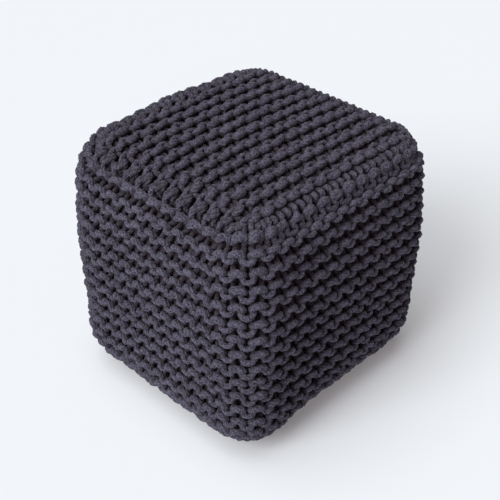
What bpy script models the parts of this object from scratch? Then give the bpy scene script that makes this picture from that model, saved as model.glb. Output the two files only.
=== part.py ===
"""A cube-shaped knitted pouf of thick cotton cord, standing on its base, +Z up.

A filled body is wrapped in a wide band of garter stitch, whose ridges run level round the four sides.
A square of the same knitting closes the top, its ridges running from front to back, and a plain square
closes the underside. The origin is on the floor under the middle. The front looks along -Y.

The skin is described by a foot and an arc. The foot is a point on the rim of the flat middle of the top,
with the direction outwards there. The arc is the way along the skin from that rim: over the rounded top
edge, down the wall and round under the bottom edge.
"""

import math

import bmesh
import bpy

# Driving dimensions, in metres. All of them are taken at the crests of the ridges.
WIDTH = 0.344            # along X
DEPTH = 0.360            # along Y
HEIGHT = 0.350
CORNER_ROUND = 0.0695    # the four upright corners, seen from above
TOP_ROUND = 0.058        # the rounded edge between the top and the sides
BOTTOM_ROUND = 0.066
CROWN = 0.004            # how far the filling lifts the middle of the top
TAPER = 0.004            # how much narrower the top is than the bottom

RIDGE_PITCH_TOP = 0.0227
RIDGE_RELIEF = 0.0065    # from crest to valley
TOP_RIDGES = 12
TOP_FIRST_RIDGE = -0.1142
SIDE_RIDGES = 16
LAST_SIDE_RIDGE = 0.382  # arc of the lowest ridge, already turned under
RIM_FADE = 0.035         # the top's ridges sink away over this length before the seam

SEAM_FRONT = 0.050       # arc of the seam round the top square, on the front and the back
SEAM_RIGHT = 0.041       # on the +X side
SEAM_LEFT = 0.029        # on the -X side
SEAM_CORNER = 0.056      # how round the square's corners are when it lies flat

PANEL_SEAT = 0.318       # height at which the top square's turned-down edge ends
PANEL_SEAT_MIDDLE = 0.333
PANEL_SEAT_SHRINK = 0.80  # the seat's flat middle, as a part of the top square
GAP = 0.0003             # between pieces that touch
SEAM_GAP = 0.0006        # round the top square, whose corner is divided more finely than the band's

BASE_THICKNESS = 0.009
# The base square's soft rim, from where it meets the band down to the floor.
BASE_RIM = (
    # height, way in from where the band ends
    (BASE_THICKNESS, 0.0),
    (0.0060, -0.0010),
    (0.0025, 0.0030),
    (0.0, 0.0110),
)

STEPS_PER_RIDGE = 4
CORNER_STEPS = 8
SIDE_STEPS = 4
SEAT_ROWS = 2
TOP_ROWS = 16
SAME_PLACE = 0.00002     # points nearer than this are one point
SHARP_ANGLE = math.radians(50)

RIM_X = WIDTH / 2 - TOP_ROUND
RIM_Y = DEPTH / 2 - TOP_ROUND
RIM_CORNER = CORNER_ROUND - TOP_ROUND
TOP_ARC = TOP_ROUND * math.pi / 2
WALL_ARC = HEIGHT - TOP_ROUND - BOTTOM_ROUND

SEAM_CENTRE = (SEAM_RIGHT - SEAM_LEFT) / 2
SEAM_HALF_X = RIM_X + (SEAM_RIGHT + SEAM_LEFT) / 2
SEAM_HALF_Y = RIM_Y + SEAM_FRONT
SEAM_DIAGONAL = SEAM_CORNER * (1 - math.sqrt(0.5))


def clear_scene():
    """Remove every object that the file already holds."""
    for old in list(bpy.data.objects):
        bpy.data.objects.remove(old, do_unlink=True)


def knitted(name, colour, roughness=0.95):
    """A matt dyed cotton."""
    material = bpy.data.materials.new(name)
    material.use_nodes = True
    shader = material.node_tree.nodes["Principled BSDF"]
    shader.inputs["Base Color"].default_value = (*colour, 1.0)
    shader.inputs["Roughness"].default_value = roughness
    shader.inputs["Metallic"].default_value = 0.0
    return material


def foot_of(x, y):
    """The rim point nearest to a point of the top laid flat, the way outwards there, and the distance."""
    over_x = abs(x) - (RIM_X - RIM_CORNER)
    over_y = abs(y) - (RIM_Y - RIM_CORNER)
    away = math.hypot(max(over_x, 0.0), max(over_y, 0.0))
    if away <= RIM_CORNER:
        return (x, y), (0.0, 0.0), 0.0
    out = (math.copysign(max(over_x, 0.0) / away, x), math.copysign(max(over_y, 0.0) / away, y))
    arc = away - RIM_CORNER
    return (x - out[0] * arc, y - out[1] * arc), out, arc


def profile(arc):
    """Distance out from the rim, height, and the slope of the skin outwards and upwards, at an arc."""
    if arc < TOP_ARC:
        turn = arc / TOP_ROUND
        reach = TOP_ROUND * math.sin(turn)
        height = HEIGHT - TOP_ROUND * (1 - math.cos(turn))
        return reach, height, math.sin(turn), math.cos(turn)
    if arc < TOP_ARC + WALL_ARC:
        return TOP_ROUND, HEIGHT - TOP_ROUND - (arc - TOP_ARC), 1.0, 0.0
    turn = (arc - TOP_ARC - WALL_ARC) / BOTTOM_ROUND
    reach = TOP_ROUND - BOTTOM_ROUND * (1 - math.cos(turn))
    return reach, BOTTOM_ROUND * (1 - math.sin(turn)), math.cos(turn), -math.sin(turn)


def tapered(x, y, z):
    """The place of a point once the filling has made the upper half a little narrower."""
    lean = 1 - TAPER * (z / HEIGHT - 0.5) / (WIDTH / 2)
    return x * lean, y * lean, z


def on_skin(foot, out, arc, sink):
    """A point of the skin, pressed in by sink."""
    reach, height, slope_out, slope_up = profile(arc)
    reach -= sink * slope_out
    return foot[0] + out[0] * reach, foot[1] + out[1] * reach, height - sink * slope_up


def valley(ridges_from_first):
    """How deep the knitting lies, for a distance from the first crest counted in ridges."""
    return RIDGE_RELIEF * (1 - abs(math.cos(math.pi * ridges_from_first)))


def rounded_limit(along, half_along, half_across):
    """Half the width of the flat top square, at a distance along its other side."""
    beyond = max(abs(along) - (half_along - SEAM_CORNER), 0.0)
    return half_across - SEAM_CORNER + math.sqrt(max(SEAM_CORNER**2 - beyond**2, 0.0))


def flat_top_place(a, b):
    """Where the grid point (a, b), each from -1 to 1, lies on the top square laid flat.

    The lines of the grid are straight and even. Only the outermost ones draw in towards the corners,
    as the fourth power of the distance from the middle.
    """
    draw_a = math.copysign(a**4, a)
    draw_b = math.copysign(b**4, b)
    end_x = SEAM_HALF_X * a - draw_a * SEAM_DIAGONAL
    end_y = SEAM_HALF_Y * b - draw_b * SEAM_DIAGONAL
    limit_x = rounded_limit(end_y, SEAM_HALF_Y, SEAM_HALF_X)
    limit_y = rounded_limit(end_x, SEAM_HALF_X, SEAM_HALF_Y)
    x = SEAM_HALF_X * a - draw_a * (SEAM_HALF_X - limit_x)
    y = SEAM_HALF_Y * b - draw_b * (SEAM_HALF_Y - limit_y)
    return SEAM_CENTRE + x, y


def seam_outline():
    """The points round the top square laid flat, anticlockwise from the middle of the +X side."""
    points = []
    for quarter in range(4):
        sign_x, sign_y = ((1, 1), (-1, 1), (-1, -1), (1, -1))[quarter]
        centre_x = sign_x * (SEAM_HALF_X - SEAM_CORNER)
        centre_y = sign_y * (SEAM_HALF_Y - SEAM_CORNER)
        for step in range(CORNER_STEPS + 1):
            turn = math.pi / 2 * (quarter + step / CORNER_STEPS)
            points.append((SEAM_CENTRE + centre_x + SEAM_CORNER * math.cos(turn),
                           centre_y + SEAM_CORNER * math.sin(turn)))
    outline = []
    for corner in range(4):
        arc_points = points[corner * (CORNER_STEPS + 1):(corner + 1) * (CORNER_STEPS + 1)]
        following = points[((corner + 1) * (CORNER_STEPS + 1)) % len(points)]
        outline += arc_points
        last = arc_points[-1]
        for step in range(1, SIDE_STEPS):
            part = step / SIDE_STEPS
            outline.append((last[0] + (following[0] - last[0]) * part,
                            last[1] + (following[1] - last[1]) * part))
    return outline


def sheet(columns, rows):
    """A flat grid whose points carry their own parameters, each from 0 to 1, as x and y."""
    grid = bmesh.new()
    bmesh.ops.create_grid(grid, x_segments=columns, y_segments=rows, size=0.5)
    bmesh.ops.translate(grid, verts=grid.verts, vec=(0.5, 0.5, 0.0))
    return grid


def close_holes(grid):
    """Fill each open ring of edges with one face."""
    open_edges = [edge for edge in grid.edges if edge.is_boundary]
    bmesh.ops.holes_fill(grid, edges=open_edges, sides=0)


def finish(grid, name, material):
    """Turn the faces outwards and put the mesh into a named object."""
    bmesh.ops.recalc_face_normals(grid, faces=grid.faces)
    mesh = bpy.data.meshes.new(name)
    grid.to_mesh(mesh)
    grid.free()
    mesh.materials.append(material)
    mesh.shade_smooth()
    mesh.set_sharp_from_angle(angle=SHARP_ANGLE)
    piece = bpy.data.objects.new(name, mesh)
    bpy.context.collection.objects.link(piece)
    return piece


def shrink_to_seat(x, y, part):
    """Draw a seat point in towards the middle of the square."""
    return SEAM_CENTRE + (x - SEAM_CENTRE) * part, y * part


def side_band(material):
    """The filled body in its band: level ridges, a lipped seat for the top square, a flat underside."""
    outline = seam_outline()
    ridge_rows = SIDE_RIDGES * STEPS_PER_RIDGE
    grid = sheet(len(outline), ridge_rows + SEAT_ROWS)
    for vertex in grid.verts:
        column = round(vertex.co.x * len(outline)) % len(outline)
        row = round(vertex.co.y * (ridge_rows + SEAT_ROWS)) - SEAT_ROWS
        foot, out, seam_arc = foot_of(*outline[column])
        seam = on_skin(foot, out, seam_arc, RIDGE_RELIEF)
        lip = (seam[0] + out[0] * SEAM_GAP, seam[1] + out[1] * SEAM_GAP, seam[2])
        if row == -SEAT_ROWS:
            place = (*shrink_to_seat(seam[0], seam[1], PANEL_SEAT_SHRINK), PANEL_SEAT_MIDDLE - GAP)
        elif row < 0:
            place = (lip[0], lip[1], PANEL_SEAT - GAP - SEAM_GAP)
        elif row == 0:
            place = lip
        else:
            # Ridge 0 is half a pitch below the seam, and the last valley half a pitch below the last ridge.
            pitch = (LAST_SIDE_RIDGE - seam_arc) / (SIDE_RIDGES - 0.5)
            ridge = row / STEPS_PER_RIDGE - 0.5
            arc = seam_arc + (ridge + 0.5) * pitch
            place = on_skin(foot, out, arc, valley(ridge))
        if row == ridge_rows:
            place = (place[0], place[1], BASE_THICKNESS + GAP)
        vertex.co = tapered(*place)
    bmesh.ops.remove_doubles(grid, verts=grid.verts, dist=SAME_PLACE)
    close_holes(grid)
    return finish(grid, "side_band", material)


def top_square(material):
    """The knitted square that closes the top, with its ridges front to back and its edge turned down."""
    columns = round(2 * SEAM_HALF_X / RIDGE_PITCH_TOP * STEPS_PER_RIDGE)
    last_crest = TOP_FIRST_RIDGE + (TOP_RIDGES - 1) * RIDGE_PITCH_TOP
    grid = sheet(columns, TOP_ROWS)
    for vertex in grid.verts:
        a, b = 2 * vertex.co.x - 1, 2 * vertex.co.y - 1
        foot, out, arc = foot_of(*flat_top_place(a, b))
        across = SEAM_CENTRE + SEAM_HALF_X * a
        inside = min(max(across, TOP_FIRST_RIDGE), last_crest)
        sink = valley((inside - TOP_FIRST_RIDGE) / RIDGE_PITCH_TOP)
        # Beyond the outermost ridges the skin falls away to the seam, and so do the ridges' own ends.
        past_last = min(abs(across - inside) / (RIDGE_PITCH_TOP / 2), 1.0)
        to_seam = SEAM_HALF_Y * (1 - abs(b))
        ending = min(max(1 - to_seam / RIM_FADE, 0.0), 1.0)
        sink += (RIDGE_RELIEF - sink) * max(past_last, ending) ** 2
        x, y, z = on_skin(foot, out, arc, sink)
        z += CROWN * max(1 - (foot[0] / RIM_X) ** 2, 0.0) * max(1 - (foot[1] / RIM_Y) ** 2, 0.0)
        vertex.co = (x, y, z)
    rim = [edge for edge in grid.edges if edge.is_boundary]
    for part, height in ((1.0, PANEL_SEAT), (PANEL_SEAT_SHRINK, PANEL_SEAT_MIDDLE)):
        drawn = bmesh.ops.extrude_edge_only(grid, edges=rim)["geom"]
        for vertex in (item for item in drawn if isinstance(item, bmesh.types.BMVert)):
            vertex.co = (*shrink_to_seat(vertex.co.x, vertex.co.y, part), height)
        rim = [item for item in drawn if isinstance(item, bmesh.types.BMEdge)]
    close_holes(grid)
    for vertex in grid.verts:
        vertex.co = tapered(*vertex.co)
    return finish(grid, "top_square", material)


def base_square(material):
    """The plain square under the pouf, flat where it rests, with a soft rolled rim."""
    outline = seam_outline()
    steps_down = len(BASE_RIM) - 1
    grid = sheet(len(outline), steps_down)
    band_end = profile(LAST_SIDE_RIDGE + 0.5 * RIDGE_PITCH_TOP)[0] - RIDGE_RELIEF
    for vertex in grid.verts:
        column = round(vertex.co.x * len(outline)) % len(outline)
        height, way_in = BASE_RIM[round(vertex.co.y * steps_down)]
        foot, out, _ = foot_of(*outline[column])
        reach = band_end - way_in
        vertex.co = tapered(foot[0] + out[0] * reach, foot[1] + out[1] * reach, height)
    bmesh.ops.remove_doubles(grid, verts=grid.verts, dist=SAME_PLACE)
    close_holes(grid)
    return finish(grid, "base_square", material)


def main():
    clear_scene()
    charcoal = (0.030, 0.029, 0.035)
    side_band(knitted("band_cotton", charcoal))
    top_square(knitted("top_cotton", charcoal))
    base_square(knitted("base_cotton", charcoal))


main()
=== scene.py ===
# %% [markdown]
# # A knitted pouf, stitch by stitch
#
# This lesson dresses a plain model of a cube-shaped pouf in real knitting: every stitch is a length of
# cotton cord. The plain model, called the frame, already gives the size and place of three pieces: the
# filled band round the sides, the square that closes the top and the square underneath. Nothing here
# moves or resizes them. Units are metres, +Z is up and the pouf's front looks along -Y.

# %% Load the frame
import math
from collections import namedtuple

import bpy
import numpy as np
from mathutils import Matrix, Vector


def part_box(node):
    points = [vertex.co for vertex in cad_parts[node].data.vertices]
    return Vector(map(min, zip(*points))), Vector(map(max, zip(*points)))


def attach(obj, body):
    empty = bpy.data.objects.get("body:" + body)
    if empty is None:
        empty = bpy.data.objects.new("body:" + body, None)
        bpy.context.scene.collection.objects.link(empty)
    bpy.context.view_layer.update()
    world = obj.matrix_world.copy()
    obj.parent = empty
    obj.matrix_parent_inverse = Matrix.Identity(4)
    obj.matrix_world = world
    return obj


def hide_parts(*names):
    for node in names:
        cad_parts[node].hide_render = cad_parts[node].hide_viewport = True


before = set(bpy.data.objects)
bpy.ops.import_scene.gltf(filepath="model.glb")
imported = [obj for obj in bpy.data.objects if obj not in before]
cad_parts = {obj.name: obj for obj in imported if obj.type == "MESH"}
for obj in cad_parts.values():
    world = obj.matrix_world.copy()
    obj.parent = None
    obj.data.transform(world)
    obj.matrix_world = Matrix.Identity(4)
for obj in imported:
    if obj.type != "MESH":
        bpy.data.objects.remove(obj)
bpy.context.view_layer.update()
print("frame nodes:", sorted(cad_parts))

# %% [markdown]
# ## The sizes that everything else follows
#
# The pouf is a cube with soft edges. Its shape is given at the crests of the knitted ridges by three side
# lengths and three rounding radii. The same few numbers shaped the frame, so they are stated once here,
# and every stitch is placed from them.

# %% Driving sizes
WIDTH = 0.344            # along X, at the crests of the ridges
DEPTH = 0.360            # along Y
HEIGHT = 0.350
CORNER_ROUND = 0.0695    # the four upright corners, seen from above
TOP_ROUND = 0.058        # the rounded edge between the top and the sides
BOTTOM_ROUND = 0.066
CROWN = 0.004            # how far the filling lifts the middle of the top
TAPER = 0.004            # how much further in each side stands at the top than at the bottom

SEAM_FRONT = 0.050       # from the top's flat rim down to the seam, on the front and the back
SEAM_RIGHT = 0.041
SEAM_LEFT = 0.029
SEAM_CORNER = 0.056      # how round the top square's corners are when it lies flat

SIDE_RIDGES = 16
LAST_SIDE_RIDGE = 0.382  # from the flat rim down to the lowest ridge, already turned under
BAND_STITCHES = 56       # all the way round
TOP_RIDGES = 12
TOP_FIRST_RIDGE = -0.1142    # its X on the top laid flat
TOP_RIDGE_PITCH = 0.0227

RIDGE_PITCH = 0.022      # from ridge to ridge, about the same on all faces

RIM_X = WIDTH / 2 - TOP_ROUND
RIM_Y = DEPTH / 2 - TOP_ROUND
RIM_CORNER = CORNER_ROUND - TOP_ROUND
TOP_ARC = TOP_ROUND * math.pi / 2
WALL_ARC = HEIGHT - TOP_ROUND - BOTTOM_ROUND
SEAM_CENTRE = (SEAM_RIGHT - SEAM_LEFT) / 2
SEAM_HALF_X = RIM_X + (SEAM_RIGHT + SEAM_LEFT) / 2
SEAM_HALF_Y = RIM_Y + SEAM_FRONT
SEAM_DIAGONAL = SEAM_CORNER * (1 - math.sqrt(0.5))    # how far the round corner draws in, along X and Y
print("stitches in the band:", BAND_STITCHES * SIDE_RIDGES * 2)

# %% [markdown]
# ## The camera
#
# The picture that this model follows was taken from the front right corner, looking down on the pouf,
# with a longish lens. The camera's place is worked out from its direction and distance, so that each
# number says something: how far round, how high, how far away.

# %% Camera
CAMERA_ROUND = math.radians(44.2946)     # from the front towards the right
CAMERA_UP = math.radians(34.6823)
CAMERA_ROLL = math.radians(0.189)
CAMERA_DISTANCE = 1.3355
CAMERA_AIM = Vector((0.0, 0.0, HEIGHT / 2))
CAMERA_SHIFT = (-0.0004, -0.0061)        # a small step across the view: less than zero is left and down
CAMERA_LENS = 72.72      # in millimetres, and so is the sensor
CAMERA_SENSOR = 36.0


def place_camera():
    """A camera that looks at the pouf's middle from its direction, then steps aside and rolls a little."""
    back = Vector((math.sin(CAMERA_ROUND) * math.cos(CAMERA_UP),
                   -math.cos(CAMERA_ROUND) * math.cos(CAMERA_UP),
                   math.sin(CAMERA_UP)))
    level = Vector((math.cos(CAMERA_ROUND), math.sin(CAMERA_ROUND), 0.0))
    upright = back.cross(level)
    right = level * math.cos(CAMERA_ROLL) + upright * math.sin(CAMERA_ROLL)
    up = upright * math.cos(CAMERA_ROLL) - level * math.sin(CAMERA_ROLL)
    lens = bpy.data.cameras.new("camera")
    lens.sensor_width = CAMERA_SENSOR
    lens.lens = CAMERA_LENS
    camera = bpy.data.objects.new("camera", lens)
    place = CAMERA_AIM + back * CAMERA_DISTANCE + right * CAMERA_SHIFT[0] + up * CAMERA_SHIFT[1]
    turn = Matrix((right, up, back)).transposed()
    camera.matrix_world = Matrix.LocRotScale(place, turn.to_quaternion(), None)
    bpy.context.scene.collection.objects.link(camera)
    bpy.context.scene.camera = camera
    return camera


camera = place_camera()
print("camera at", [round(v, 3) for v in camera.location])

# %% [markdown]
# ## The skin that the stitches lie on
#
# A knitted fabric can be drawn flat, as rows and columns, and then wrapped over a body. The wrapping needs
# a skin: a rule that turns a place on the flat fabric into a place on the pouf. Here a place is described
# by its foot, a point on the rim of the top's flat middle, and its arc, the distance from there along the
# skin: over the rounded edge, down the wall and under the bottom edge.
#
# A stuffed body is never quite a rounded box. Its walls bulge, its upper left edge stands out in the middle,
# its lower right edge is drawn in and its front upright corner is a little sharper. Moving finished
# stitches would bend them. So the few millimetres are added where the skin is worked out, and the rows
# follow by themselves.

# %% The skin
WALL_BULGE = 0.0050      # how far the stuffing pushes the walls out
BULGE_FROM, BULGE_TO = 0.060, 0.290      # the arcs between which it does
LEFT_BULGE = 0.0050      # the same for the middle of the upper left edge
LEFT_BULGE_WIDTH = 0.070
LEFT_BULGE_END = 0.100
LOW_TUCK = 0.0065        # how far the lower edge on the right is drawn in
LOW_TUCK_FROM, LOW_TUCK_TO = 0.290, 0.350
LOW_TUCK_FRONT = 0.060   # over this distance from the front corner it sets in
CORNER_PUSH = 0.009      # how much further out the upright corner nearest the camera stands
CORNER_ARCS = (0.040, 0.170, 0.290, 0.370)    # where this starts, is full, begins to fade and ends


def rim_of(x, y):
    """For places on the top laid flat: the nearest rim point, the way outwards there, and the distance.

    Outside the flat middle, out = (overhang beyond the rim corner's centre) / its length.
    """
    over_x = np.maximum(np.abs(x) - (RIM_X - RIM_CORNER), 0.0)
    over_y = np.maximum(np.abs(y) - (RIM_Y - RIM_CORNER), 0.0)
    away = np.hypot(over_x, over_y)
    outside = away > RIM_CORNER
    length = np.where(outside, away, 1.0)
    out = np.stack([np.sign(x) * over_x, np.sign(y) * over_y], -1) / length[..., None] * outside[..., None]
    arc = np.where(outside, away - RIM_CORNER, 0.0)
    return np.stack([x, y], -1) - out * arc[..., None], out, arc


def front_corner(out):
    """1 halfway round the front right corner, 0 on the walls: the square of 2 x y, for a way out of x, y."""
    return (2 * np.maximum(out[..., 0], 0.0) * np.minimum(out[..., 1], 0.0)) ** 2


def soft_form(foot, out, arc):
    """How far the stuffing pushes the skin out past the plain rounded box, at each place.

    The walls bulge as the square of a sine of the arc. The upper left edge bulges in the same way, most in
    its middle, as the bell curve of the distance along it. The lower right edge is drawn in and the front
    right corner is pushed out, and both set in evenly along the arc.
    """
    wall = np.clip((arc - BULGE_FROM) / (BULGE_TO - BULGE_FROM), 0.0, 1.0)
    bulge = WALL_BULGE * np.sin(math.pi * wall) ** 2
    edge = np.sin(math.pi * np.clip(arc / LEFT_BULGE_END, 0.0, 1.0)) ** 2
    middle = np.exp(-((foot[..., 1] / LEFT_BULGE_WIDTH) ** 2))
    bulge = bulge + LEFT_BULGE * np.maximum(-out[..., 0], 0.0) * edge * middle
    low = np.clip((arc - LOW_TUCK_FROM) / (LOW_TUCK_TO - LOW_TUCK_FROM), 0.0, 1.0)
    from_front = np.clip((foot[..., 1] + RIM_Y) / LOW_TUCK_FRONT, 0.0, 1.0)
    bulge = bulge - LOW_TUCK * low * from_front * np.clip(out[..., 0] + out[..., 1], 0.0, 1.0)
    return bulge + CORNER_PUSH * front_corner(out) * np.interp(arc, CORNER_ARCS, (0.0, 1.0, 1.0, 0.0))


def skin(foot, out, arc, above):
    """Places on the pouf, a height above the ridge crests (below them if it is negative).

    Over the top edge the skin turns by arc / TOP_ROUND, down the wall it doesn't turn, and under the
    bottom edge it turns on. reach and height follow from that turn, and the point is then pushed along
    the skin's own upright (sin turn outwards, cos turn upwards). The crown lifts the top's middle, and
    the taper draws the upper half in and lets the lower half out.
    """
    above = above + soft_form(foot, out, arc)
    over = np.clip(arc, 0.0, TOP_ARC) / TOP_ROUND
    down = np.clip(arc - TOP_ARC, 0.0, WALL_ARC)
    under = np.clip(arc - TOP_ARC - WALL_ARC, 0.0, BOTTOM_ROUND * math.pi / 2) / BOTTOM_ROUND
    turn = over + under
    reach = TOP_ROUND * np.sin(over) - BOTTOM_ROUND * (1 - np.cos(under)) + above * np.sin(turn)
    height = HEIGHT - TOP_ROUND * (1 - np.cos(over)) - down - BOTTOM_ROUND * np.sin(under)
    height = height + above * np.cos(turn)
    lift_x = np.maximum(1 - (foot[..., 0] / RIM_X) ** 2, 0.0)
    lift_y = np.maximum(1 - (foot[..., 1] / RIM_Y) ** 2, 0.0)
    height = height + CROWN * lift_x * lift_y
    lean = 1 - TAPER * (height / HEIGHT - 0.5) / (WIDTH / 2)
    flat = (foot + out * reach[..., None]) * lean[..., None]
    return np.concatenate([flat, height[..., None]], -1)


print("top of the crown, mm:", 1000 * skin(np.zeros((1, 2)), np.zeros((1, 2)), np.zeros(1), np.zeros(1))[0])

# %% [markdown]
# ## The seam, and the band's own map
#
# The band's columns of stitches stand side by side all round the pouf, equally wide on the walls. A table
# with a fine step along the seam gives, for each column, its foot, its way outwards and how far down the
# seam lies there. Column 0 is at the front right corner, and the columns run anticlockwise from above,
# which is to the right for someone who looks at a side.

# %% The band's map
OUTLINE_STEPS = 120      # along each straight side and each corner of the seam


def unit(vectors):
    """Vectors of length one."""
    return vectors / np.linalg.norm(vectors, axis=-1, keepdims=True)


def seam_outline():
    """The seam laid flat: four quarter circles joined by straight sides, as one array of places."""
    step = np.arange(OUTLINE_STEPS)[:, None] / OUTLINE_STEPS
    signs = np.array([(1, 1), (-1, 1), (-1, -1), (1, -1)])
    centres = np.array([SEAM_CENTRE, 0.0]) + signs * (np.array([SEAM_HALF_X, SEAM_HALF_Y]) - SEAM_CORNER)
    runs = []
    for quarter in range(4):
        turn = math.pi / 2 * (quarter + step)
        bend = centres[quarter] + SEAM_CORNER * np.hstack([np.cos(turn), np.sin(turn)])
        last_turn = math.pi / 2 * (quarter + 1)
        aim = SEAM_CORNER * np.array([math.cos(last_turn), math.sin(last_turn)])
        start, end = centres[quarter] + aim, centres[(quarter + 1) % 4] + aim
        runs += [bend, start + (end - start) * step]
    return np.concatenate(runs)


def band_table():
    """Column number, foot, way out and seam arc along the seam, from the front right corner round."""
    flat = seam_outline()
    foot, out, arc = rim_of(flat[:, 0], flat[:, 1])
    corner = np.argmax(out @ np.array([1.0, -1.0]))
    foot, out, arc = (np.roll(part, -corner, axis=0) for part in (foot, out, arc))
    foot, out, arc = (np.concatenate([part, part[:1]]) for part in (foot, out, arc))
    wall = foot + out * TOP_ROUND
    along = np.concatenate([[0.0], np.cumsum(np.hypot(*np.diff(wall, axis=0).T))])
    print("wall stitch width, mm:", round(1000 * along[-1] / BAND_STITCHES, 2))
    return along / along[-1] * BAND_STITCHES, foot, out, arc


BAND_COLUMN, BAND_FOOT, BAND_OUT, BAND_SEAM = band_table()


def round_band(column):
    """Foot and way out at places round the band, which are given in stitches."""
    wrapped = column % BAND_STITCHES
    foot, out = (np.stack([np.interp(wrapped, BAND_COLUMN, part[:, axis]) for axis in (0, 1)], -1)
                 for part in (BAND_FOOT, BAND_OUT))
    return foot, unit(out)


def on_band(column, ridge, above):
    """Places on the band. column counts stitches, ridge counts ridges down from the first.

    The first ridge lies half a pitch below the seam, and the last one at its own arc.
    """
    foot, out = round_band(column)
    seam = np.interp(column % BAND_STITCHES, BAND_COLUMN, BAND_SEAM)
    pitch = (LAST_SIDE_RIDGE - seam) / (SIDE_RIDGES - 0.5)
    return skin(foot, out, seam + (ridge + 0.5) * pitch, above)


# %% [markdown]
# ## The cord
#
# A cord is a tube: a circle carried along a line. The line is an array of points, and at each one the
# circle stands square to the line. To keep it from twisting, one of its axes is taken from the skin's own
# upright, which is known everywhere. All the rows of a piece are made as one array at a time. Each tube
# gets a UV map with the length along the cord and the way round it, so that the twist can follow it.

# %% Circles along a line
TUBE_SIDES = 8
CORD_LUMPS = 0.10        # how uneven the cord's surface is, as a part of its radius


def tube_points(line, upright, radius, closed):
    """Circles round each point of each line: line + radius * (cos a * side + sin a * up).

    side is square to the line and the upright, and up is square to both. Also gives how far each point
    is raised from the line along the upright, and the lengths along. The cord's lumps are drawn from a
    generator that starts from the number of points in a line.
    """
    if closed:
        ahead = np.roll(line, -1, axis=1) - np.roll(line, 1, axis=1)
    else:
        ahead = np.gradient(line, axis=1)
    ahead = unit(ahead)
    side = unit(np.cross(ahead, upright))
    up = np.cross(side, ahead)
    angle = 2 * math.pi * np.arange(TUBE_SIDES) / TUBE_SIDES
    ring = np.cos(angle)[:, None] * side[:, :, None] + np.sin(angle)[:, None] * up[:, :, None]
    random = np.random.default_rng(line.shape[1])
    swell = radius[..., None] * (1 + random.normal(0.0, CORD_LUMPS, ring.shape[:3]))
    points = line[:, :, None] + ring * swell[..., None]
    raised = (ring * upright[:, :, None]).sum(-1) * swell
    step = np.linalg.norm(np.roll(line, -1, axis=1) - line, axis=-1)
    along = np.concatenate([np.zeros((len(line), 1)), np.cumsum(step, axis=1)], axis=1)
    return points, raised, along


print("points round a cord:", TUBE_SIDES)

# %% Tubes
ROW_STEP = 0.0088        # how much further on each row's twist starts


def tube_mesh(name, line, upright, radius, level, closed):
    """One mesh object that holds a tube for each line, with its UV map (length in metres, turn 0 to 1).

    level is the height of each line above the fabric's middle. The attribute "front" gives each point's own
    height there, in metres.
    """
    points, raised, along = tube_points(line, upright, radius, closed)
    rows, steps, sides, _ = points.shape
    spans = steps if closed else steps - 1
    row, step, turn = np.meshgrid(np.arange(rows), np.arange(spans), np.arange(sides), indexing="ij")

    def corner(step_on, turn_on):
        """The number of the point that lies so many steps and turns on."""
        return (row * steps + (step + step_on) % steps) * sides + (turn + turn_on) % sides

    faces = np.stack([corner(0, 0), corner(1, 0), corner(1, 1), corner(0, 1)], -1).reshape(-1, 4)
    u = np.stack([along[row, step], along[row, step + 1], along[row, step + 1], along[row, step]], -1)
    v = np.stack([turn, turn, turn + 1, turn + 1], -1) / sides
    uv = np.stack([u + row[..., None] * ROW_STEP, v], -1).reshape(-1, 2)
    loops = faces.ravel()
    starts = np.arange(len(faces)) * 4
    if not closed:
        first = (np.arange(rows)[:, None] * steps) * sides + np.arange(sides)
        last = (np.arange(rows)[:, None] * steps + steps - 1) * sides + np.arange(sides)[::-1]
        caps = np.stack([first, last], 1).reshape(-1, sides)
        starts = np.concatenate([starts, len(loops) + np.arange(len(caps)) * sides])
        loops = np.concatenate([loops, caps.ravel()])
        uv = np.concatenate([uv, np.zeros((caps.size, 2))])
    mesh = bpy.data.meshes.new(name)
    mesh.vertices.add(rows * steps * sides)
    mesh.vertices.foreach_set("co", points.astype(np.float32).ravel())
    mesh.loops.add(len(loops))
    mesh.loops.foreach_set("vertex_index", loops.astype(np.int32))
    mesh.polygons.add(len(starts))
    mesh.polygons.foreach_set("loop_start", starts.astype(np.int32))
    mesh.update(calc_edges=True)
    mesh.uv_layers.new(name="cord")
    mesh.uv_layers["cord"].data.foreach_set("uv", uv.astype(np.float32).ravel())
    front = mesh.attributes.new("front", "FLOAT", "POINT")
    front.data.foreach_set("value", (level[..., None] + raised).astype(np.float32).ravel())
    mesh.shade_smooth()
    mesh.validate()
    piece = bpy.data.objects.new(name, mesh)
    bpy.context.scene.collection.objects.link(piece)
    return piece


# %% [markdown]
# ## Handing a piece over
#
# The pouf is one body, and nothing on it moves by itself. So every finished piece rides on the same body.
# It also names the pieces of the frame that it stands in for, which are then hidden.

# %% Finished pieces
def triangles(piece):
    """How many triangles a piece has before its modifiers."""
    return sum(len(face.vertices) - 2 for face in piece.data.polygons)


def hand_over(piece, material, slot, *nodes):
    """Give a finished piece its material and its body, and hide the pieces of the frame that it stands in
    for.
    """
    piece.data.materials.append(material)
    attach(piece, "root")
    if nodes:
        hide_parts(*nodes)
    print(piece.name, "triangles:", triangles(piece))


# %% [markdown]
# ## Shader maths as Python
#
# A node tree that is built call by call is hard to read. A small class wraps a socket, so that an
# expression such as `1 - mask * 0.5` adds the Math nodes by itself.

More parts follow.
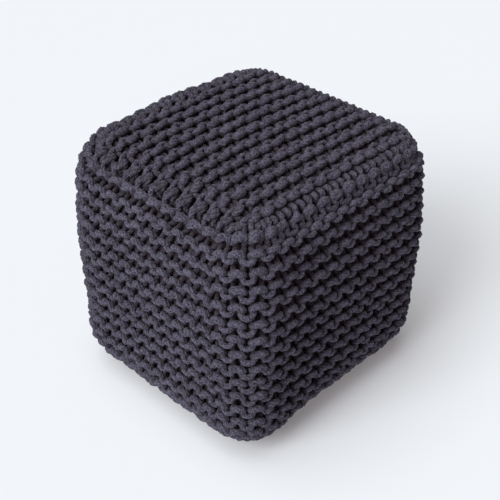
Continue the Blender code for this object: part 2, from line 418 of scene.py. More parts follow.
# %% Wires
class Wire:
    """A socket of a node tree, with arithmetic."""

    def __init__(self, tree, socket):
        self.tree = tree
        self.socket = socket

    def node(self, kind, settings=None, output=0, **values):
        """Add a node: settings first, then its sockets' values or wires, by name or by number as i0, i1."""
        made = self.tree.nodes.new(kind)
        for name, value in (settings or {}).items():
            setattr(made, name, value)
        for name, value in values.items():
            socket = made.inputs[int(name[1:])] if name[1:].isdigit() else made.inputs[name.replace("_", " ")]
            if isinstance(value, Wire):
                self.tree.links.new(value.socket, socket)
            else:
                socket.default_value = value
        return Wire(self.tree, made.outputs[output])

    def maths(self, operation, first, second=0.0):
        """Add a Math node."""
        return self.node("ShaderNodeMath", {"operation": operation}, i0=first, i1=second)

    def __add__(self, other):
        return self.maths("ADD", self, other)

    def __sub__(self, other):
        return self.maths("SUBTRACT", self, other)

    def __mul__(self, other):
        return self.maths("MULTIPLY", self, other)

    def __rsub__(self, other):
        return self.maths("SUBTRACT", other, self)

    __radd__ = __add__
    __rmul__ = __mul__

    def sine(self):
        """The sine of this value."""
        return self.maths("SINE", self)

    def within(self, low, high):
        """This value's place between low and high, as 0 to 1 and no further."""
        return self.node("ShaderNodeMapRange", i0=self, i1=low, i2=high, i3=0.0, i4=1.0)

    def spread(self, reach):
        """A noise stays near a half. This spreads it out, so that reach less than a half becomes 0."""
        return self.within(0.5 - reach, 0.5 + reach)

    def mix(self, first, second):
        """A colour that is first where this wire is 0 and second where it is 1."""
        first, second = (part if isinstance(part, Wire) else (*part, 1.0) for part in (first, second))
        return self.node("ShaderNodeMix", {"data_type": "RGBA"}, output=2, i0=self, i6=first, i7=second)

    def feed(self, shader, name):
        """Lead this wire into a socket of the shader."""
        self.tree.links.new(self.socket, shader.inputs[name])


def new_material(name, **fixed):
    """A material, a wire to start from, and the shader with its fixed values, such as Sheen_Weight=0.1."""
    material = bpy.data.materials.new(name)
    material.use_nodes = True
    shader = material.node_tree.nodes["Principled BSDF"]
    for socket, value in fixed.items():
        shader.inputs[socket.replace("_", " ")].default_value = value
    return material, Wire(material.node_tree, None), shader


# %% [markdown]
# ## Dyed cotton
#
# The cord is soft, matt cotton, dyed charcoal: several strands laid together with a long twist, with a
# short fuzz of loose fibres. Single hairs would cost millions of faces, and from a step away they show only
# as a grain. So the fuzz is drawn in the colour: streaks along the strands, clumps, and the finest grain of
# fibre ends, with shallow grooves between the strands. What glances off the loose fibres at the edges is
# the shader's own sheen, a fixed number that is set on the shader.

# %% Cotton material
TWIST_LENGTH = 0.022     # the length of cord in which a strand goes once round
STRANDS = 4
STREAKS = (160.0, 16.0, 3.0)     # for each metre of cord, each turn along the lay, each turn round the cord
CLUMPS = 230.0           # for each metre: how fine the fuzz is
FUZZ = 520.0             # single fibre ends for each metre
CLOUDS = 14.0            # faint patches of uneven dye for each metre

# How far each noise is spread out round its middle, and its part in the lightness.
STREAK_REACH, STREAK_PART = 0.15, 0.25
CLUMP_REACH, CLUMP_PART = 0.12, 0.20
FUZZ_REACH, FUZZ_PART = 0.10, 0.55
STRAND_PART = 0.10
CLOUD_PART = 0.25

STRAND_RELIEF, STREAK_RELIEF, CLUMP_RELIEF = 0.5, 0.7, 1.2
COTTON_RELIEF = 0.0012   # how high a relief of one stands
# These two heights set the painted shade: between them the cord's colour fades from its full colour in front
# to a flat dark pit colour behind.
PAINTED_SHADE_BELOW = -0.004      # from the fabric's middle: where the cord is as dark as the pits between stitches
LIT_ABOVE = 0.013        # where it has its full colour
SHEEN_TINT = (0.80, 0.78, 0.90, 1.0)


def cotton(name, shade, light, painted_shade, sheen):
    """Cord material that reads its own UV map: strands = sin of (turn * STRANDS + length / twist)."""
    material, start, shader = new_material(name, Roughness=0.95, Specular_IOR_Level=0.2, Sheen_Weight=sheen,
                                           Sheen_Roughness=0.5, Sheen_Tint=SHEEN_TINT)
    uv = start.node("ShaderNodeUVMap", {"uv_map": "cord"})
    length = start.node("ShaderNodeSeparateXYZ", output=0, Vector=uv)
    turn = start.node("ShaderNodeSeparateXYZ", output=1, Vector=uv)
    place = start.node("ShaderNodeTexCoord", output=3)
    front = start.node("ShaderNodeAttribute", {"attribute_name": "front"}, output=2)
    lay = turn + length * (1 / TWIST_LENGTH)
    strand = (lay * (2 * math.pi * STRANDS)).sine() * 0.5 + 0.5
    along_strand = start.node("ShaderNodeCombineXYZ", X=length * STREAKS[0], Y=lay * STREAKS[1],
                              Z=turn * STREAKS[2])
    streak = start.node("ShaderNodeTexNoise", Vector=along_strand, Scale=1.0, Detail=2.0, Roughness=0.6)
    clump = start.node("ShaderNodeTexNoise", Vector=place, Scale=CLUMPS, Detail=2.0, Roughness=0.6)
    fuzz = start.node("ShaderNodeTexNoise", Vector=place, Scale=FUZZ, Detail=1.0)
    cloud = start.node("ShaderNodeTexNoise", Vector=place, Scale=CLOUDS, Detail=2.0)
    lightness = streak.spread(STREAK_REACH) * STREAK_PART + clump.spread(CLUMP_REACH) * CLUMP_PART
    lightness = lightness + fuzz.spread(FUZZ_REACH) * FUZZ_PART + strand * STRAND_PART
    lightness = lightness + (cloud - 0.5) * CLOUD_PART
    colour = lightness.node("ShaderNodeClamp", Value=lightness).mix(shade, light)
    # Painted shade: the further back a point lies in the fabric, the more its colour turns to a flat dark
    # colour, which stands in for the shade in the pits between stitches.
    front.within(PAINTED_SHADE_BELOW, LIT_ABOVE).mix(painted_shade, colour).feed(shader, "Base Color")
    relief = strand * STRAND_RELIEF + streak * STREAK_RELIEF + clump * CLUMP_RELIEF
    bump = relief.node("ShaderNodeBump", Strength=1.0, Distance=COTTON_RELIEF, Height=relief)
    bump.feed(shader, "Normal")
    return material


SHADE = (0.004, 0.002, 0.004)
LIGHT = (0.122, 0.116, 0.162)
# A flat dark colour painted on the cord at the back of the fabric, as the shade in the pits between stitches.
PAINTED_PIT_SHADE = (0.042, 0.031, 0.038)
SHEEN = 0.08
band_cotton = cotton("band_cotton", SHADE, LIGHT, PAINTED_PIT_SHADE, SHEEN)
top_cotton = cotton("top_cotton", SHADE, LIGHT, PAINTED_PIT_SHADE, SHEEN)
print("materials:", band_cotton.name, top_cotton.name)

# %% [markdown]
# ## The filled body
#
# Behind the knitting is the stuffed body that holds it out. It shows only as dark ground between the
# stitches, but it has to be there, or light would fall through. It is made as padded fabric is: a closed
# shape a little too small, remeshed into even cells, blown up by a cloth simulation and kept from moving
# too far, which leaves it evenly taut with soft dents. It comes up to where the cords pass behind each
# other, as a full body does, so the pits are shallow.

# %% Lining
# The lining is coloured as the dark back of the knitting, and darker than the cord, as painted shade in the
# gaps between the stitches.
INNER_SHADE = (0.024, 0.019, 0.023)
INNER_LIGHT = (0.050, 0.040, 0.047)
INNER_GRAIN = 420.0      # for each metre
INNER_REACH = 0.2


def lining_dark(name):
    """What shows between the stitches: the dark, matt back of the knitting on the filling, made darker than
    the cord as painted shade.
    """
    material, start, shader = new_material(name, Roughness=1.0, Specular_IOR_Level=0.1)
    place = start.node("ShaderNodeTexCoord", output=3)
    grain = start.node("ShaderNodeTexNoise", Vector=place, Scale=INNER_GRAIN, Detail=3.0)
    grain.spread(INNER_REACH).mix(INNER_SHADE, INNER_LIGHT).feed(shader, "Base Color")
    return material


inner_cotton = lining_dark("inner_cotton")
print("material:", inner_cotton.name)

# %% A closed bag
BAG_MIDDLE = 0.02        # how small the last ring at each end is, as a part of the full width


def bag(name, rings):
    """A closed piece from rings of points that go from the top's middle out, down and in again underneath."""
    count, around = rings.shape[:2]
    ring, column = np.meshgrid(np.arange(count - 1), np.arange(around), indexing="ij")
    after = (column + 1) % around
    faces = np.stack([ring * around + column, (ring + 1) * around + column,
                      (ring + 1) * around + after, ring * around + after], -1).reshape(-1, 4)
    caps = [list(range(around)), list(range((count - 1) * around, count * around))[::-1]]
    mesh = bpy.data.meshes.new(name)
    mesh.from_pydata(rings.reshape(-1, 3).tolist(), [], faces.tolist() + caps)
    piece = bpy.data.objects.new(name, mesh)
    bpy.context.scene.collection.objects.link(piece)
    return piece


# %% The body's first shape
BODY_DEPTH = 0.0170      # how far the body starts below the crests of the ridges
BODY_COLUMNS = 224
BODY_TOP_RINGS = 12
BODY_SIDE_RINGS = 60


def body_rings():
    """Rings on the skin, a little below the stitches, over the top, down the walls and in underneath."""
    foot, out = round_band(np.arange(BODY_COLUMNS) / BODY_COLUMNS * BAND_STITCHES)
    inward = np.linspace(BAG_MIDDLE, 1.0, BODY_TOP_RINGS)[:, None, None]
    top = skin(foot * inward, 0 * out * inward, 0.0, -BODY_DEPTH)
    whole = TOP_ARC + WALL_ARC + BOTTOM_ROUND * math.pi / 2
    wall = skin(foot, out, np.linspace(0.0, whole, BODY_SIDE_RINGS)[1:, None], -BODY_DEPTH)
    under = wall[-1] * np.linspace(1.0, BAG_MIDDLE, BODY_TOP_RINGS)[1:, None, None]
    under[..., 2] = wall[-1][:, 2]
    return np.concatenate([top, wall, under])


first_rings = body_rings()
print("rings and columns of the body's first shape:", first_rings.shape[:2])

# %% Cloth
CLOTH_QUALITY = 4


def places_of(piece):
    """The piece's points as an array."""
    flat = np.zeros(len(piece.data.vertices) * 3, np.float32)
    piece.data.vertices.foreach_get("co", flat)
    return flat.reshape(-1, 3)


def select_only(piece):
    """Make the piece the one that operators act on."""
    bpy.ops.object.select_all(action="DESELECT")
    piece.select_set(True)
    bpy.context.view_layer.objects.active = piece


def blow_up(piece, pressure, frames, most):
    """Run the cloth for some frames without gravity, then let no point move further than most.

    Gives how far the cloth had moved before that.
    """
    before = places_of(piece)
    cloth = piece.modifiers.new("cloth", "CLOTH")
    cloth.settings.use_pressure = True
    cloth.settings.uniform_pressure_force = pressure
    cloth.settings.effector_weights.gravity = 0.0
    cloth.settings.quality = CLOTH_QUALITY
    scene = bpy.context.scene
    for moment in range(1, frames + 1):
        scene.frame_set(moment)
    select_only(piece)
    bpy.ops.object.modifier_apply(modifier=cloth.name)
    scene.frame_set(1)
    moved = places_of(piece) - before
    distance = np.linalg.norm(moved, axis=1, keepdims=True)
    kept = before + moved * np.minimum(1.0, most / np.maximum(distance, 1e-9))
    piece.data.vertices.foreach_set("co", kept.astype(np.float32).ravel())
    piece.data.update()
    return float(distance.max())


# %% Filled body
BODY_CELL = 0.006        # of the mesh that the cloth moves
BODY_SWELL = 0.0025      # as far as the cloth may move
BODY_PRESSURE = 4.0
BODY_FRAMES = 20


def filled_body(rings, material):
    """The stuffed body inside the knitting."""
    body = bag("filled_body", rings)
    body.data.remesh_voxel_size = BODY_CELL
    select_only(body)
    bpy.ops.object.voxel_remesh()
    furthest = blow_up(body, BODY_PRESSURE, BODY_FRAMES, BODY_SWELL)
    print("without its limit the cloth would move up to, mm:", round(1000 * furthest, 1))
    round_off = body.modifiers.new("smooth", "SUBSURF")
    round_off.levels = 1
    round_off.render_levels = 1
    body.data.shade_smooth()
    hand_over(body, material, "band_cotton")


filled_body(first_rings, inner_cotton)

# %% [markdown]
# ## One garter stitch
#
# Knitted loops hang in each other. Along a row the cord swings up to a head, down to the hollow between
# two stitches, and up again. In garter stitch the rows change sides by turns: at each ridge the heads of
# the lower row and the hollows of the upper row both lie in front, half a stitch apart, and between two
# ridges the cord passes behind. So one row is a wave:
#
# - along the row it advances evenly, and leans back and forth twice a stitch, which makes the loops round;
# - up and down it follows a cosine, a little taller than the row, so that rows overlap and interlock;
# - in and out it follows the same cosine, raised to a power that keeps its sign, in front at the ridge and
#   behind between ridges.
#
# The cord isn't equally thick all along. It is plump in the heads, thinner in the hollows, where the next
# loop pulls it tight, and thinnest behind.

# %% Rows of loops
LOOP_STEPS = 16          # points for each stitch
FINE_STEPS = 400         # for measuring the cord in a stitch
ROW_SHIFT = 0.25         # how far a row's middle lies from its ridge's, in ridges
CORD_SQUEEZE = 0.40      # how much thinner the cord is pulled where it passes behind
UPRIGHT_STEP = 0.001     # how far above a line the skin is asked for its upright

# cord: its diameter with its fuzz. overlap: how far a head reaches past the middle of its ridge.
# lean: how much wider a head is than its neck, as a part of a stitch. depth: from the fabric's middle to
# the middle of the cord in front. bulge: how sharply heads and hollows bulge out of the fabric's middle.
# head, hollow: how thick the cord is there, as a part of its own thickness.
Loop = namedtuple("Loop", "cord overlap lean depth bulge head hollow")
BAND_LOOP = Loop(cord=0.0080, overlap=0.0036, lean=0.17, depth=0.0095, bulge=1.0, head=1.04, hollow=0.78)
TOP_LOOP = Loop(cord=0.0091, overlap=0.0040, lean=0.19, depth=0.0080, bulge=1.6, head=1.10, hollow=0.68)


def dive(level, bulge):
    """In and out for a level from -1 to 1: a power that keeps the sign, flat in the middle."""
    return np.sign(level) * np.abs(level) ** bulge


def garter_row(loop, stitch, head_in_front):
    """A row's wave: how far along, down from the middle of the row, and in or out.

    along = stitch + lean * sin(4 pi stitch), down = half the loop's height * cos(2 pi stitch) in ridges,
    out = plus or minus the dive of that cosine.
    """
    swing = np.cos(2 * math.pi * stitch)
    along = stitch + loop.lean * np.sin(4 * math.pi * stitch)
    down = (ROW_SHIFT + loop.overlap / RIDGE_PITCH) * swing
    out = loop.depth * dive(swing, loop.bulge) * (-1 if head_in_front else 1)
    return along, down, out


def even_steps(loop, stitches):
    """Places along a row, in stitches, with the same length of cord between each two."""
    fine = np.linspace(0.0, 1.0, FINE_STEPS + 1)
    along, down, out = garter_row(loop, fine, True)
    track = np.stack([along * RIDGE_PITCH, down * RIDGE_PITCH, out])
    length = np.concatenate([[0.0], np.cumsum(np.linalg.norm(np.diff(track), axis=0))])
    one = np.interp(np.arange(LOOP_STEPS) / LOOP_STEPS * length[-1], length, fine)
    print("cord in one stitch, mm:", round(1000 * length[-1], 1))
    return (np.arange(stitches)[:, None] + one).ravel()


def cord_radius(loop, out, thick):
    """The cord's radius: thick times its own in front, and squeezed the further behind it passes."""
    level = out / loop.depth
    behind = np.clip((1 - level) / 2, 0.0, 1.0)
    swell = 1 + (thick - 1) * np.clip(level, 0.0, 1.0)
    return loop.cord / 2 * (1 - CORD_SQUEEZE * behind) * swell


def laid_on(place, loop, along, down, out):
    """The cord's line on the skin and the skin's upright there, from a map such as on_band."""
    middle = -(loop.depth + loop.cord / 2)
    line = place(along, down, middle + out)
    upright = unit(place(along, down, middle + out + UPRIGHT_STEP) - line)
    return line, upright


print("height of a row's wave, mm:", round(2000 * (ROW_SHIFT * RIDGE_PITCH + BAND_LOOP.overlap), 1))

# %% [markdown]
# ## Unevenness
#
# Hand knitting is never even. Each loop is a little longer, flatter or more to one side than the next,
# and whole stretches wander. The unevenness is drawn once from a seeded generator, so the pouf is the
# same each time: one number for each head and each hollow, blended along the cord with the same cosine.

# %% Unevenness
UNEVEN_PLACE = 0.035     # how far heads and hollows stray, in stitches along and in ridges down
UNEVEN_DEPTH = 0.0004
UNEVEN_THICK = 0.03      # as a part of the cord's thickness


def uneven(random, rows, stitches, stitch, size):
    """A value along each row that is one random number at each head and another at each hollow."""
    heads = random.normal(0.0, size, (rows, stitches))
    hollows = random.normal(0.0, size, (rows, stitches))
    at_head = (1 - np.cos(2 * math.pi * stitch)) / 2
    head_number = np.floor(stitch).astype(int) % stitches
    hollow_number = np.round(stitch).astype(int) % stitches
    return heads[:, head_number] * at_head + hollows[:, hollow_number] * (1 - at_head)


def strayed(random, rows, stitches, stitch):
    """The rows as three arrays, along, down and out, with each head and hollow a little out of place."""
    sizes = (UNEVEN_PLACE, UNEVEN_PLACE, UNEVEN_DEPTH)
    return [np.stack(part) + uneven(random, len(rows), stitches, stitch, size)
            for part, size in zip(zip(*rows), sizes)]


print("loops stray by about, mm:", round(1000 * UNEVEN_PLACE * RIDGE_PITCH, 1))

# %% [markdown]
# ## The sewing along the top's edge
#
# The top square is sewn to the band with the same cord. On the front it shows as a thin chain of slanting
# stitches. On the right it is a row of plump stitches, with a zigzag of the top's binding above it and
# long upright loops below. At the back and on the left it lies flat, like a rope. Placing a hundred
# stitches one by one would allow all that, but nobody could change it afterwards. So there are two more
# rows of waves, the sewing and the binding, and each of their measures has four values, one for each side,
# which blend into each other round the corners.

# %% Sewing
# for the right side, the back, the left side and the front
SEW_LEAN = (0.04, 0.10, 0.18, 0.26)      # how long the sewing cord's stitches are
SEW_TILT = (0.16, 0.04, 0.04, 0.20)      # how far each climbs, in ridges
SEW_DOWN = (-0.08, 0.0, -0.10, 0.0)      # from the first ridge's middle, in ridges
SEW_SWING = (1.0, 0.5, 0.20, 1.0)        # how deep it goes in and out, as a part of the loops' depth
SEW_PROUD = (0.0, 0.0030, 0.0085, 0.0010)    # how much further out all of it lies
SEW_THICK = (1.12, 1.0, 0.95, 0.88)
FIRST_HEADS = (1.1, 1.1, 0.3, 1.1)       # how far out the heads under it may come, in the loops' depths
FIRST_LEGS = (0.5, 0.0, -2.0, -2.0)      # and how far back their legs may go


def by_side(column, values):
    """A value for each of the four sides, from the right one on anticlockwise, blended at the corners.

    value = x * x * (first where x is positive, else third) + y * y * (second where y is positive, else
    fourth), where x and y are the way out, which has length one.
    """
    x, y = np.moveaxis(round_band(column)[1], -1, 0)
    return np.where(x > 0, values[0], values[2]) * x**2 + np.where(y > 0, values[1], values[3]) * y**2


def sewing_row(stitch):
    """The cord that sews the top on, which shows as a chain of slanting ovals.

    along = stitch + lean * sin a, down = start - tilt * sin a, out = proud + swing * depth * cos a, where a
    turns once a stitch and is 0 over each head.
    """
    turn = 2 * math.pi * (stitch - 0.5)
    along = stitch + by_side(stitch, SEW_LEAN) * np.sin(turn)
    down = by_side(stitch, SEW_DOWN) - by_side(stitch, SEW_TILT) * np.sin(turn)
    swing = BAND_LOOP.depth * by_side(stitch, SEW_SWING)
    return along, down, swing * np.cos(turn) + by_side(stitch, SEW_PROUD)


front_middle = np.array([BAND_STITCHES * 7 / 8])
print("the sewing's lean in the middle of the front, in stitches:", by_side(front_middle, SEW_LEAN)[0])

# %% [markdown]
# ## The band round the sides
#
# Sixteen ridges, two rows each, go level round the four sides, and one more is turned under the lower edge.
# Each row is one closed tube. The first row is the sewing, and the loops below it are held by it: flat on
# the left and long on the right. Where the rows bend sharply, round the front right corner, their loops
# spread and come closer together. The rows are split into pieces by height, so that no mesh becomes too
# heavy.

# %% Band
BAND_SEED = 11
BAND_PARTS = 4
TURNED_UNDER = 1         # more ridges than the sides show, round the lower edge
HOLLOW_PROUD = 0.0010    # how much further out the hollows lie than the heads
CORNER_PLUMP = 0.14      # how much thicker the cord lies round the front right corner
CORNER_REACH = 0.28      # and how much taller its loops are there
FLOOR_CLEAR = 0.0002     # the least height of a cord above the floor


def band_rows(material):
    """All rows of the band, as pieces of eight or nine rows each."""
    random = np.random.default_rng(BAND_SEED)
    stitch = even_steps(BAND_LOOP, BAND_STITCHES)
    corner = front_corner(round_band(stitch)[1])
    rows = []
    for ridge in range(SIDE_RIDGES + TURNED_UNDER):
        for head_in_front, middle in ((False, ridge - ROW_SHIFT), (True, ridge + ROW_SHIFT)):
            along, down, out = garter_row(BAND_LOOP, stitch, head_in_front)
            rows.append((along, middle + down * (1 + CORNER_REACH * corner), out))
    rows[0] = sewing_row(stitch)
    count = len(rows)
    along, down, out = strayed(random, rows, BAND_STITCHES, stitch)
    out[2::2] += HOLLOW_PROUD * np.clip(out[2::2] / BAND_LOOP.depth, 0.0, 1.0)
    thick = np.tile([[BAND_LOOP.hollow], [BAND_LOOP.head]], (count // 2, 1)) + 0 * out
    thick[0] = by_side(stitch, SEW_THICK)
    out[1] = np.clip(out[1], BAND_LOOP.depth * by_side(stitch, FIRST_LEGS),
                     BAND_LOOP.depth * by_side(stitch, FIRST_HEADS))
    radius = cord_radius(BAND_LOOP, out, thick) * (1 + CORNER_PLUMP * corner)
    radius = radius * (1 + uneven(random, count, BAND_STITCHES, stitch, UNEVEN_THICK))
    line, upright = laid_on(on_band, BAND_LOOP, along, down, out)
    line[..., 2] = np.maximum(line[..., 2], radius + FLOOR_CLEAR)
    first = np.linspace(0, count, BAND_PARTS + 1).astype(int)
    for part in range(BAND_PARTS):
        here = slice(first[part], first[part + 1])
        piece = tube_mesh(f"band_rows_{part + 1}", line[here], upright[here], radius[here], out[here], True)
        hand_over(piece, material, "band_cotton", "side_band")


band_rows(band_cotton)

# %% [markdown]
# ## The binding
#
# Above the sewing, the edge of the top square is bound by one more row all round. Its legs lie in front and
# its tips dive behind, so on the right and on the front it shows as a zigzag. At the back and on the left
# it is pulled nearly straight.

# %% Binding
BINDING_SEED = 13
BIND_LEAN = 0.06         # as a part of a stitch
UNEVEN_BINDING = 0.03    # in stitches along and in ridges down

# for the right side, the back, the left side and the front
BIND_MIDDLE = (-0.62, -0.80, -0.66, -0.80)   # from the first ridge's middle, in ridges
BIND_HEIGHT = (0.46, 0.10, 0.26, 0.42)
BIND_DEPTH = (0.80, 1.15, 0.90, 0.35)    # how far in front its legs lie, as a part of the loops' depth
BIND_DIVE = (1.50, 0.30, 0.60, 1.05)     # how far its tips lie behind its legs


def binding(material):
    """The binding: a wave round the pouf, at its furthest out in the middle of each leg.

    down = middle - height * cos(2 pi stitch), out = loops' depth * (depth - dive * that cosine squared).
    """
    random = np.random.default_rng(BINDING_SEED)
    stitch = even_steps(BAND_LOOP, BAND_STITCHES)
    swing = np.cos(2 * math.pi * stitch)
    along = stitch + BIND_LEAN * np.sin(4 * math.pi * stitch)
    along = along + uneven(random, 1, BAND_STITCHES, stitch, UNEVEN_BINDING)
    down = by_side(stitch, BIND_MIDDLE) - by_side(stitch, BIND_HEIGHT) * swing
    down = down + uneven(random, 1, BAND_STITCHES, stitch, UNEVEN_BINDING)
    legs = by_side(stitch, BIND_DEPTH)
    out = BAND_LOOP.depth * (legs - by_side(stitch, BIND_DIVE) * swing**2) + 0 * down
    radius = cord_radius(BAND_LOOP, out, 1.0) * (1 + uneven(random, 1, BAND_STITCHES, stitch, UNEVEN_THICK))
    line, upright = laid_on(on_band, BAND_LOOP, along, down, out)
    piece = tube_mesh("binding_row", line, upright, radius, out, True)
    hand_over(piece, material, "top_cotton")


binding(top_cotton)

# %% [markdown]
# ## The top square
#
# The same stitch closes the top, with its ridges running from front to back. Its rows are open: they end
# at the seam. The sewing draws their last stitch and a half straight, so there the upper row of each ridge
# shows as a strand, and the lower one as short rungs between the strands. The ends go on down behind the
# sewing, so that no end of a cord shows.

# %% The top's map
def rounded_limit(along, half_along, half_across):
    """Half the width of the flat top square at a distance along its other side, with round corners.

    width = half_across - corner + the root of (corner squared - beyond squared), where beyond is the
    distance past the start of a corner.
    """
    beyond = np.maximum(np.abs(along) - (half_along - SEAM_CORNER), 0.0)
    return half_across - SEAM_CORNER + np.sqrt(np.maximum(SEAM_CORNER**2 - beyond**2, 0.0))


def on_top(back, across, above):
    """Places on the top. back runs from -1 at the front seam to 1 at the back one, across is X laid flat.

    The grid is straight and even. Only its outermost lines draw in to the corners, as the fourth power.
    """
    right = (across - SEAM_CENTRE) / SEAM_HALF_X
    draw_right = np.sign(right) * right**4
    draw_back = np.sign(back) * back**4
    limit_x = rounded_limit(SEAM_HALF_Y * back - draw_back * SEAM_DIAGONAL, SEAM_HALF_Y, SEAM_HALF_X)
    limit_y = rounded_limit(SEAM_HALF_X * right - draw_right * SEAM_DIAGONAL, SEAM_HALF_X, SEAM_HALF_Y)
    x = SEAM_CENTRE + SEAM_HALF_X * right - draw_right * (SEAM_HALF_X - limit_x)
    y = SEAM_HALF_Y * back - draw_back * (SEAM_HALF_Y - limit_y)
    return skin(*rim_of(x, y), above)


middle_of_front = on_top(np.array([-1.0]), np.array([SEAM_CENTRE]), np.zeros(1))[0]
print("the seam's middle on the front, mm:", np.round(1000 * middle_of_front, 1))

# %% Top square
TOP_SEED = 12
TOP_STITCHES = 15
END_STITCHES = 1.6       # how many stitches at each end are drawn straight by the sewing
END_EASE = 0.7           # below one, so that the pull is felt early
END_HEIGHT = 1.1         # how high they lie there, as a part of the loops' depth
TUCKED = 0.45            # how far the rows' ends go on behind the sewing, in stitches
TUCK_DEPTH = 0.010       # and how far in


def top_rows(material):
    """Two rows for each ridge, open at the front and the back.

    They are drawn straight by (1 - stitches from the end / END_STITCHES) to the power END_EASE.
    """
    random = np.random.default_rng(TOP_SEED)
    stitch = np.append(even_steps(TOP_LOOP, TOP_STITCHES + 2), TOP_STITCHES + 2) - 1
    stitch = stitch[(stitch >= -TUCKED) & (stitch <= TOP_STITCHES + TUCKED)]
    rows = []
    for ridge in range(TOP_RIDGES):
        for head_in_front, middle in ((False, ridge + ROW_SHIFT), (True, ridge - ROW_SHIFT)):
            along, down, out = garter_row(TOP_LOOP, stitch, head_in_front)
            to_end = np.minimum(along, TOP_STITCHES - along)
            drawn = np.clip(1 - to_end / END_STITCHES, 0.0, 1.0) ** END_EASE
            tucked = TUCK_DEPTH * np.clip(-to_end / TUCKED, 0.0, 1.0)
            across = middle - down
            out = out - tucked
            if head_in_front:
                out = out - drawn * np.maximum(out, 0.0)
            else:
                across = across + (ridge - across) * drawn
                out = out + (END_HEIGHT * TOP_LOOP.depth - tucked - out) * drawn
            rows.append((along, across, out))
    along, across, out = strayed(random, rows, TOP_STITCHES, stitch)
    thick = np.tile([[TOP_LOOP.hollow], [TOP_LOOP.head]], (TOP_RIDGES, 1))
    radius = cord_radius(TOP_LOOP, out, thick)
    radius = radius * (1 + uneven(random, len(rows), TOP_STITCHES, stitch, UNEVEN_THICK))
    back = 2 * along / TOP_STITCHES - 1
    x = TOP_FIRST_RIDGE + across * TOP_RIDGE_PITCH
    line, upright = laid_on(on_top, TOP_LOOP, back, x, out)
    piece = tube_mesh("top_rows", line, upright, radius, out, False)
    hand_over(piece, material, "top_cotton", "top_square")


top_rows(top_cotton)

# %% [markdown]
# ## The square underneath
#
# The underside isn't in the picture. A square of the same stitch would be as likely, but a plain one
# claims less, so it is a flat square of dark woven cotton with a soft rim.

# %% Woven cloth
THREADS = 3000.0         # radians for each metre, so a thread is 1 mm wide
THREAD_RELIEF = 0.0004
THREAD_GRAIN = 300.0     # for each metre
THREAD_REACH = 0.3


def woven(name):
    """Plain dark cotton cloth: two crossed sets of fine stripes, each above the other by turns."""
    material, start, shader = new_material(name, Roughness=0.95)
    place = start.node("ShaderNodeTexCoord", output=3)
    x = start.node("ShaderNodeSeparateXYZ", output=0, Vector=place)
    y = start.node("ShaderNodeSeparateXYZ", output=1, Vector=place)
    threads = (x * THREADS).sine() * (y * THREADS).sine() * 0.5 + 0.5
    grain = start.node("ShaderNodeTexNoise", Vector=place, Scale=THREAD_GRAIN, Detail=3.0)
    (threads * 0.5 + grain * 0.5).spread(THREAD_REACH).mix(SHADE, LIGHT).feed(shader, "Base Color")
    bump = threads.node("ShaderNodeBump", Strength=0.6, Distance=THREAD_RELIEF, Height=threads)
    bump.feed(shader, "Normal")
    return material


base_cotton = woven("base_cotton")
print("material:", base_cotton.name)

# %% Base
BASE_COLUMNS = 160
BASE_RINGS = 16          # on the flat underside
BASE_RIM_RINGS = 8       # round the rim

# as parts of the base's own size
BASE_MIDDLE = 0.01       # the innermost ring underneath
BASE_RIM = 0.03          # the width of the rounded rim
BASE_TOP = 0.95          # the innermost ring above


def base_square(material):
    """A flat plate with a rounded rim: rings from above, round the edge and in to the middle underneath.

    Round the rim, size = 1 - BASE_RIM * (1 - cos a) and height = thick / 2 * (1 + sin a).
    """
    low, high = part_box("base_square")
    foot, out = round_band(np.arange(BASE_COLUMNS) / BASE_COLUMNS * BAND_STITCHES)
    edge = foot + out * (high.x - RIM_X)
    thick = high.z - low.z
    turn = np.linspace(math.pi / 2, -math.pi / 2, BASE_RIM_RINGS + 1)[:-1]
    rim = 1 - BASE_RIM * (1 - np.cos(turn))
    flat = np.linspace(1 - BASE_RIM, BASE_MIDDLE, BASE_RINGS)
    inward = np.concatenate([[BASE_TOP], rim, flat])[:, None, None]
    height = np.concatenate([[thick], thick / 2 * (1 + np.sin(turn)), 0 * flat])[:, None, None]
    rings = np.concatenate([edge * inward, height + 0 * edge[:, :1]], -1)
    piece = bag("base_cloth", rings)
    piece.data.shade_smooth()
    hand_over(piece, material, "base_cotton", "base_square")


base_square(base_cotton)

# %% [markdown]
# ## Floor and light
#
# A pale floor and plain soft studio light. The main light comes from the front and above, so the front and
# the top are equally bright and the right-hand side is darker. A weaker light from overhead shapes the
# ridges. A faint one from near the camera reaches into the pits, which would otherwise be black, and the
# room adds a little light from all round.

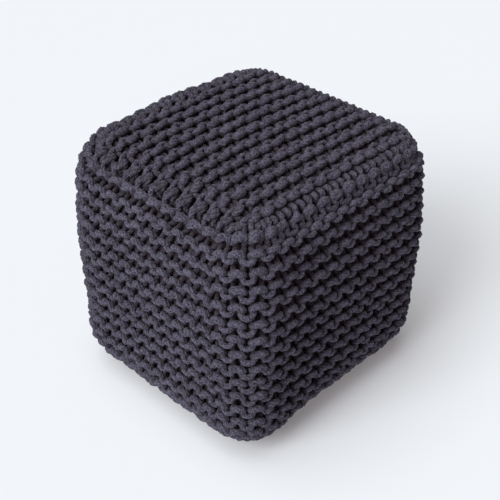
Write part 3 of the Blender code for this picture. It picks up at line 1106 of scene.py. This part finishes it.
# %% Floor
FLOOR_SHADE = (0.68, 0.705, 0.715)
FLOOR_GLOW = 0.15
GLOW_COLOUR = (0.97, 0.98, 1.0, 1.0)
FLOOR_REACH = 80.0       # far enough that no view meets its edge


def pale_floor():
    """A large plain floor at the height on which the pouf stands."""
    mesh = bpy.data.meshes.new("floor")
    corners = [(-1, -1), (1, -1), (1, 1), (-1, 1)]
    mesh.from_pydata([(x * FLOOR_REACH, y * FLOOR_REACH, 0) for x, y in corners], [], [(0, 1, 2, 3)])
    floor = bpy.data.objects.new("floor", mesh)
    bpy.context.scene.collection.objects.link(floor)
    material, _, _ = new_material("floor", Base_Color=(*FLOOR_SHADE, 1.0), Roughness=0.9,
                                  Emission_Color=GLOW_COLOUR, Emission_Strength=FLOOR_GLOW)
    floor.data.materials.append(material)


pale_floor()
print("floor, m:", 2 * FLOOR_REACH)

# %% Light
# where each light comes from, how many degrees wide it looks, its strength and its colour
LAMPS = {
    "key": ((0.02, -1.0, 0.74), 34.0, 2.5, (0.94, 0.98, 1.0)),
    "overhead": ((-0.10, -0.25, 1.0), 50.0, 1.7, (0.95, 0.98, 1.0)),
    "facing": ((0.45, -0.72, 0.53), 30.0, 0.45, (1.0, 0.66, 0.72)),
}
ROOM = (0.08, (1.0, 0.88, 0.94))


def soft_light(name, towards_light, spread, strength, colour):
    """Light from one direction, as soft as a lamp that looks spread degrees wide."""
    lamp = bpy.data.lights.new(name, "SUN")
    lamp.angle = math.radians(spread)
    lamp.energy = strength
    lamp.color = colour
    holder = bpy.data.objects.new(name, lamp)
    holder.rotation_euler = Vector(towards_light).to_track_quat("Z", "Y").to_euler()
    bpy.context.scene.collection.objects.link(holder)


def room(strength, colour):
    """Even light from all round."""
    world = bpy.data.worlds.new("room")
    world.use_nodes = True
    background = world.node_tree.nodes["Background"]
    background.inputs["Color"].default_value = (*colour, 1.0)
    background.inputs["Strength"].default_value = strength
    bpy.context.scene.world = world


for name, lamp in LAMPS.items():
    soft_light(name, *lamp)
room(*ROOM)
bpy.context.scene.view_settings.view_transform = "Standard"
print("lights:", ", ".join(LAMPS))
